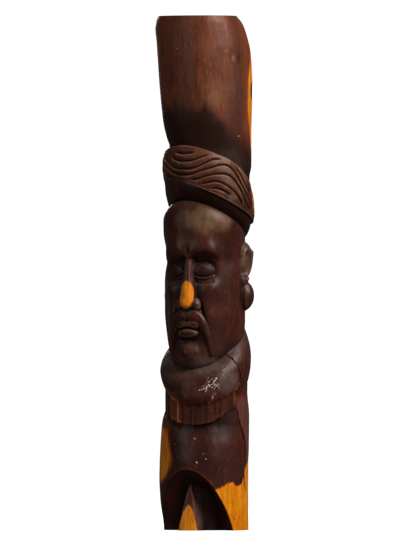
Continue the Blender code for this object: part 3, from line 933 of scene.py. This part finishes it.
def saw(mesh, height, keep_above):
    """Cuts the tube square at this height and closes it with a flat end."""
    bm = bmesh.new()
    bm.from_mesh(mesh)
    cut = bmesh.ops.bisect_plane(
        bm, geom=bm.verts[:] + bm.edges[:] + bm.faces[:], dist=1e-6, plane_co=(0, 0, height),
        plane_no=(0, 0, 1), clear_inner=keep_above, clear_outer=not keep_above,
    )
    rim = [item for item in cut["geom_cut"] if isinstance(item, bmesh.types.BMEdge)]
    for edge in rim:
        edge.smooth = False
        for vertex in edge.verts:
            vertex.co.z = height
    bmesh.ops.contextual_create(bm, geom=rim)
    bmesh.ops.recalc_face_normals(bm, faces=bm.faces[:])
    bm.to_mesh(mesh)
    bm.free()


def carved_surface():
    """The whole post as one closed mesh."""
    share = 1
    angle, z, away, fields = surface_grid(round(COLUMNS * share), share)
    turn = np.radians(angle)
    points = np.stack((away * np.sin(turn), -away * np.cos(turn), z), axis=2)
    mesh = thinned(tube_mesh("carved_surface", points, fields), TRIANGLES)
    saw(mesh, 0, keep_above=True)
    saw(mesh, HEIGHT, keep_above=False)
    mesh.shade_smooth()
    mesh.set_sharp_from_angle(angle=np.radians(55))
    post = bpy.data.objects.new("carved_surface", mesh)
    bpy.context.scene.collection.objects.link(post)
    return post


# Materials

def linear(red, green, blue):
    """A colour from display values of 0 to 255."""
    values = []
    for value in (red, green, blue):
        share = value / 255
        values.append(share / 12.92 if share <= 0.04045 else ((share + 0.055) / 1.055) ** 2.4)
    return (*values, 1)


class Reading:
    """A node's output, from which sums, differences and products make further nodes."""

    def __init__(self, shader, socket):
        self.shader = shader
        self.socket = socket

    def __add__(self, other):
        return self.shader.math("ADD", self, other)

    def __sub__(self, other):
        return self.shader.math("SUBTRACT", self, other)

    def __mul__(self, other):
        return self.shader.math("MULTIPLY", self, other)


class Shader:
    """Short names for building a material's nodes."""

    def __init__(self, name):
        self.material = bpy.data.materials.new(name)
        self.material.use_nodes = True
        self.tree = self.material.node_tree

    def put(self, socket, value):
        if isinstance(value, Reading):
            self.tree.links.new(value.socket, socket)
        else:
            socket.default_value = value

    def node(self, kind, inputs, output=0, **settings):
        """A new node, as the reading of one of its outputs."""
        made = self.tree.nodes.new(kind)
        for key, value in settings.items():
            setattr(made, key, value)
        for key, value in inputs.items():
            self.put(made.inputs[key], value)
        return Reading(self, made.outputs[output])

    def finish(self, inputs):
        """Sets the surface's own inputs and gives the material."""
        for key, value in inputs.items():
            self.put(self.tree.nodes["Principled BSDF"].inputs[key], value)
        return self.material

    def math(self, operation, a, b=0.0):
        return self.node("ShaderNodeMath", {0: a, 1: b}, operation=operation)

    def smooth(self, value, start, end, last=1.0, first=0.0):
        """A smooth step of the value, from first at the start to last at the end."""
        inputs = {"Value": value, "From Min": start, "From Max": end, "To Min": first, "To Max": last}
        return self.node("ShaderNodeMapRange", inputs, "Result", interpolation_type="SMOOTHSTEP")

    def mix(self, share, a, b):
        """The colour a with a share of b."""
        return self.node("ShaderNodeMix", {"Factor": share, 6: a, 7: b}, 2, data_type="RGBA")

    def noise(self, place, fineness, detail, roughness, distortion=0.0):
        scaled = self.node("ShaderNodeVectorMath", {0: place, 1: fineness}, operation="MULTIPLY")
        inputs = {"Vector": scaled, "Scale": 1, "Detail": detail, "Roughness": roughness}
        return self.node("ShaderNodeTexNoise", inputs | {"Distortion": distortion}, "Fac")


HEARTWOOD_TOP = linear(114, 59, 36)
HEARTWOOD_LOW = linear(57, 27, 21)
HEARTWOOD_RED = linear(92, 36, 22)
HEARTWOOD_DARK_AND_SHADE = linear(29, 11, 6)
HEARTWOOD_WARM = linear(136, 66, 26)
PALE_SIDE = linear(116, 66, 57)
EDGE_WEAR_AND_HIGHLIGHT = linear(142, 102, 78)
EDGE_WEAR_AND_HIGHLIGHT_LOW = linear(246, 146, 82)
SAPWOOD = linear(246, 160, 12)
SAPWOOD_DEEP = linear(208, 108, 6)
SAPWOOD_EDGE = linear(150, 68, 14)
DUST_AND_SHEEN = linear(152, 118, 86)
DUST_AND_SHEEN_LOW = linear(138, 114, 102)
NICK = linear(236, 222, 204)
FLECK = linear(156, 106, 66)
SPECULAR = 0.25
SPECULAR_TINT = (1.0, 0.86, 0.8, 1)

# Noise in the wood: fineness along each axis, detail, roughness and distortion
NOISE = {
    "streaks": ((110, 110, 10), 6, 0.7, 0.6),
    "clouds": ((11, 11, 7), 5, 0.65),
    "blotches": ((34, 34, 20), 5, 0.68),
    "mottle": ((150, 150, 60), 5, 0.7, 1.0),
    "fibres": ((560, 560, 20), 3, 0.6),
    "grit": ((420, 420, 300), 2, 0.7),
    "flecks": ((330, 330, 110), 3, 0.6, 0.5),
    "wisps": ((110, 110, 14), 5, 0.65, 0.3),
    "lines": ((300, 300, 9), 3, 0.6),
    "specks": ((230, 230, 60), 2, 0.5),
    "squiggle": ((260, 260, 200), 3, 0.6, 1.2),
    "waves": ((34, 34, 20), 2, 0.55),
}

# Heights of the finest relief, in metres
FIBRE_RELIEF = 0.00012
LINE_RELIEF = 0.00008
WAVE_RELIEF = 0.0024

# Pale nicks in the polish: angle, height and a radius, also in thousandths of the post's height
NICKS = (
    (-11, 936, 1.7), (75, 766, 1.5), (10.6, 179, 2.0), (4, 172, 1.1), (-19, 168, 1.2), (23, 149, 1.2),
    (26, 139, 1.5), (14.4, 132.5, 2.2), (-14, 143, 1.0),
)


def surface_point(angle, height, surface):
    """The place on one of the plain lengths at this angle and height in a table."""
    away = float(surface(np.array(float(angle)), np.array(height * H), None))
    turn = np.radians(angle)
    return (away * np.sin(turn), -away * np.cos(turn), height * H)


def spot(s, place, angle, height, radius, rough):
    """One inside a small ragged spot on one of the plain lengths, and nought outside."""
    centre = surface_point(angle, height, upper_shaft if height > 500 else lower_shaft)
    away = s.node("ShaderNodeVectorMath", {0: place, 1: centre}, "Value", operation="DISTANCE")
    return s.smooth(away + rough * (radius * H), 1.6 * radius * H, radius * H)


def wood():
    """Polished dark heartwood with patches of yellow sapwood, painted darker in its hollows where shade
    falls, with painted highlights on its edges and a painted sheen.
    """
    s = Shader("carved_wood")
    place = s.node("ShaderNodeTexCoord", {}, "Object")
    z = s.node("ShaderNodeSeparateXYZ", {0: place}, 2)
    hollow, recess_shade, ridge, sapwood_share, stain, warm, film, scratch, wear = (
        s.node("ShaderNodeAttribute", {}, "Fac", attribute_name=name)
        for name in ("hollow", "recess_shade", "ridge", "sapwood", "stain", "warm", "film", "scratch", "wear")
    )
    streaks, clouds, blotches, mottle, fibres, grit, flecks, wisps, lines, specks, squiggle, waves = (
        s.noise(place, *settings) for settings in NOISE.values()
    )

    # Heartwood
    # Lighter towards the top: partly the wood's own tone, partly painted light falling off down the post.
    body = s.mix(s.smooth(z, 0.62 * HEIGHT, 0.84 * HEIGHT), HEARTWOOD_LOW, HEARTWOOD_TOP)
    body = s.mix(s.smooth(blotches, 0.42, 0.66, 0.5), body, HEARTWOOD_RED)
    body = s.mix(s.smooth(warm + blotches * 0.6, 0.5, 1.3), body, HEARTWOOD_WARM)
    body = s.mix(s.smooth(mottle, 0.5, 0.72, 0.25), body, HEARTWOOD_WARM)
    fleck_share = s.smooth(flecks, 0.58, 0.72) * s.smooth(z, 0.62 * HEIGHT, 0.84 * HEIGHT, 0.4, 0.12)
    body = s.mix(fleck_share, body, FLECK)
    # Paler beside the crack, and painted light on the beard's lower roll.
    body = s.mix(s.smooth(stain, -0.2, -0.6, 0.9), body, PALE_SIDE)
    tone = streaks * 0.5 + clouds * 0.5
    # Darker in random tone, knots and the band over the cap, and painted shade in the recesses, hollows,
    # sockets, niche, crack and under the band, chin and fringe.
    dark_and_shade_share = s.smooth(tone, 0.58, 0.38, 0.45)
    for reading, start, end, most in (
        (stain + (tone - 0.5) * 0.5, 0.08, 0.95, 0.95),
        (recess_shade, 0.5, 4.4, 0.85),
        (hollow, 0.2, 1.5, 0.92),
        (mottle, 0.48, 0.3, 0.4),
    ):
        dark_and_shade_share = s.math("MAXIMUM", dark_and_shade_share, s.smooth(reading, start, end, most))
    heartwood = s.mix(dark_and_shade_share, body, HEARTWOOD_DARK_AND_SHADE)
    heartwood = s.mix(s.smooth(fibres, 0.46, 0.66, 0.4), heartwood, s.mix(0.6, heartwood, HEARTWOOD_DARK_AND_SHADE))
    # Rubbed edges, lighter, with painted highlights; bright orange low down is a painted highlight on the
    # fringe's and beard's lip.
    rubbed_and_lit = s.mix(s.smooth(z, 0.29 * HEIGHT, 0.33 * HEIGHT), EDGE_WEAR_AND_HIGHLIGHT_LOW, EDGE_WEAR_AND_HIGHLIGHT)
    rubbed_and_lit_share = s.smooth(ridge, 0.28, 0.9) * s.smooth(blotches, 0.34, 0.6, 0.85, 0.4)
    heartwood = s.mix(rubbed_and_lit_share * wear * s.smooth(stain, 0.0, 0.6, 0.3, 1.0), heartwood, rubbed_and_lit)

    # Sapwood
    yellow = sapwood_share + (wisps - 0.5) * 0.45
    sapwood = s.mix(s.smooth(lines * 0.5 + wisps * 0.5, 0.38, 0.62), SAPWOOD_DEEP, SAPWOOD)
    sapwood = s.mix(s.smooth(blotches, 0.44, 0.62, 0.75), sapwood, SAPWOOD_DEEP)
    sapwood = s.mix(s.smooth(specks, 0.64, 0.74, 0.85), sapwood, SAPWOOD_EDGE)
    sapwood = s.mix(s.smooth(yellow, 0.46, 0.74), SAPWOOD_EDGE, sapwood)
    # Painted shade in the hollows, and darker where the heartwood is dark or painted shaded too.
    sapwood = s.mix(s.smooth(hollow, 0.3, 1.5, 0.9), sapwood, HEARTWOOD_DARK_AND_SHADE)
    sapwood = s.mix(s.smooth(stain, 0.4, 0.9), sapwood, HEARTWOOD_DARK_AND_SHADE)
    colour = s.mix(s.smooth(yellow, 0.3, 0.5), heartwood, sapwood)

    # Film and dust with a painted sheen, on what faces up and in patches; nicks and scratches
    facing_up = s.node("ShaderNodeSeparateXYZ", {0: s.node("ShaderNodeNewGeometry", {}, "Normal")}, 2)
    # Painted sheen, with some dust, on what faces up; the film patches are partly painted sheen.
    dust_and_sheen_share = s.smooth(facing_up, 0.15, 0.8, 0.2) * s.smooth(clouds, 0.35, 0.6, 1.0, 0.35)
    dust_and_sheen_share = dust_and_sheen_share * s.smooth(stain, 0.1, 0.5, 0.2, 1.0)
    patchy = (blotches - 0.5) * 1.2 + (mottle - 0.5) * 0.5
    film_and_sheen_share = s.math("MAXIMUM", s.smooth(film + patchy, 0.25, 1.1, 0.4), s.smooth(scratch, 0.05, 0.5, 0.32))
    dust_and_sheen_share = s.math("MAXIMUM", dust_and_sheen_share, film_and_sheen_share * s.smooth(yellow, 0.5, 0.3))
    dust_and_sheen = s.mix(s.smooth(z, 0.4 * HEIGHT, 0.55 * HEIGHT), DUST_AND_SHEEN_LOW, DUST_AND_SHEEN)
    colour = s.mix(dust_and_sheen_share, colour, dust_and_sheen)
    fine_line = s.smooth(s.math("ABSOLUTE", squiggle - 0.5), 0.045, 0.0)
    marked = scratch + fine_line * 0.45 + (grit - 0.5) * 1.1
    nicked = s.smooth(marked, 0.72, 1.0) * s.smooth(scratch, 0.34, 0.5)
    for angle, at_height, radius in NICKS:
        nicked = s.math("MAXIMUM", nicked, spot(s, place, angle, at_height, radius, grit) * 0.6)
    colour = s.mix(nicked, colour, NICK)

    # Gloss and the finest relief
    gloss = s.smooth(clouds, 0.3, 0.7, 0.38, 0.27) + dark_and_shade_share * 0.08
    gloss = gloss + (s.smooth(fibres, 0.4, 0.7, 0.1) + film_and_sheen_share * 0.35)
    gloss = gloss + s.smooth(z, 0.6 * HEIGHT, 0.75 * HEIGHT, 0.06)
    relief = fibres * FIBRE_RELIEF + lines * LINE_RELIEF + waves * WAVE_RELIEF
    bumped = s.node("ShaderNodeBump", {"Height": relief, "Distance": 1.0, "Strength": 0.8})
    return s.finish({
        "Base Color": colour, "Roughness": gloss, "Specular IOR Level": SPECULAR,
        "Specular Tint": SPECULAR_TINT, "Normal": bumped,
    })


def studio_floor():
    return Shader("studio_floor").finish({
        "Base Color": (0.6, 0.6, 0.6, 1), "Roughness": 0.9, "Emission Color": (1, 1, 1, 1),
        "Emission Strength": 0.9,
    })


# The studio

def make_floor():
    """A pale round floor under the post."""
    bm = bmesh.new()
    bmesh.ops.create_circle(bm, cap_ends=True, segments=96, radius=3.0)
    mesh = bpy.data.meshes.new("floor")
    bm.to_mesh(mesh)
    bm.free()
    mesh.materials.append(studio_floor())
    floor = bpy.data.objects.new("floor", mesh)
    floor.location.z = -0.0005
    floor.visible_diffuse = False
    floor.visible_glossy = False
    bpy.context.scene.collection.objects.link(floor)


def around(turn, distance, height):
    """A place at this turn round the post from its face, this far from its axis."""
    a = np.radians(turn)
    return Vector((distance * np.sin(a), -distance * np.cos(a), height))


def make_camera():
    """A level camera far off that frames the post as the photograph does."""
    pixel = HEIGHT / (PHOTO_FOOT - PHOTO_TOP)
    middle = (PHOTO_FOOT - PHOTO_SIZE[1] / 2) * pixel
    data = bpy.data.cameras.new("camera")
    data.sensor_width = SENSOR
    data.lens = SENSOR * CAMERA_DISTANCE / (PHOTO_SIZE[1] * pixel)
    data.clip_end = 100
    camera = bpy.data.objects.new("camera", data)
    camera.location = around(CAMERA_TURN, CAMERA_DISTANCE, middle)
    camera.rotation_euler = (Vector((0, 0, middle)) - camera.location).to_track_quat("-Z", "Y").to_euler()
    bpy.context.scene.collection.objects.link(camera)
    bpy.context.scene.camera = camera


def softbox(name, turn, height, size, power, aim=0.55, mirrored=True):
    """A large lamp that faces the post, turned from the camera. The polish may mirror it."""
    data = bpy.data.lights.new(name, "AREA")
    data.shape = "RECTANGLE"
    data.size, data.size_y = size
    data.energy = power
    lamp = bpy.data.objects.new(name, data)
    lamp.location = around(CAMERA_TURN + turn, LAMP_DISTANCE, height)
    lamp.rotation_euler = (Vector((0, 0, aim)) - lamp.location).to_track_quat("-Z", "Y").to_euler()
    lamp.visible_glossy = mirrored
    bpy.context.scene.collection.objects.link(lamp)


def light_studio():
    """A key high at the camera's right, weaker lamps left, low and behind, and a white surround."""
    softbox("key", 54, 2.3, (1.9, 1.5), 124)
    softbox("fill", -50, 1.2, (1.4, 1.6), 10.5)
    softbox("front", 6, 0.2, (1.0, 0.8), 7, aim=0.2, mirrored=False)
    softbox("back", 188, 1.7, (1.2, 1.5), 42)
    world = bpy.data.worlds.new("surround")
    world.use_nodes = True
    tree = world.node_tree
    seen = tree.nodes.new("ShaderNodeLightPath").outputs["Is Camera Ray"]
    brightness = tree.nodes.new("ShaderNodeMapRange")
    brightness.inputs["To Min"].default_value = 0.06
    brightness.inputs["To Max"].default_value = 1.1
    tree.links.new(seen, brightness.inputs["Value"])
    tree.links.new(brightness.outputs["Result"], tree.nodes["Background"].inputs["Strength"])
    tree.nodes["Background"].inputs["Color"].default_value = (1, 1, 1, 1)
    scene = bpy.context.scene
    scene.world = world
    scene.view_settings.view_transform = "Standard"


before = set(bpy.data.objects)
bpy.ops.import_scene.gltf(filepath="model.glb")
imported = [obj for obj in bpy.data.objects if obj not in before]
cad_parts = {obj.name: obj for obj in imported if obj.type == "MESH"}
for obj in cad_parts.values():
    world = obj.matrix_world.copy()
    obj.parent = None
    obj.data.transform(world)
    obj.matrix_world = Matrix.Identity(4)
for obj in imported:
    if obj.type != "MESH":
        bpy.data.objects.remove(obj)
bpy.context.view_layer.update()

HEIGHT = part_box("carved_post")[1][2]
H = HEIGHT / 1000
R = TRUNK_RADIUS / 100
LEDGE = 0.6 * H
SAW_ALLOWANCE = 20 * H
FLUTE_DEPTH = 2.3 * R
WAVE_PITCH = 14 * H
WAVE_DEPTH = 4.6 * R
WAVE_HALF_WIDTH = 3.4 * R
KNOT_DEPTH = 8 * R
NICHE_CROWN = 118 * H
NICHE_DEPTH = 34 * R
CRACK_HALF_WIDTH = 1.8 * R
CRACK_DEPTH = 8 * R
CRACK_COLUMN = 80
SCRATCH_WIDTH = 2 * H

make_camera()
light_studio()
make_floor()

post = carved_surface()
post.data.materials.append(wood())
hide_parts("carved_post")
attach(post, "root")
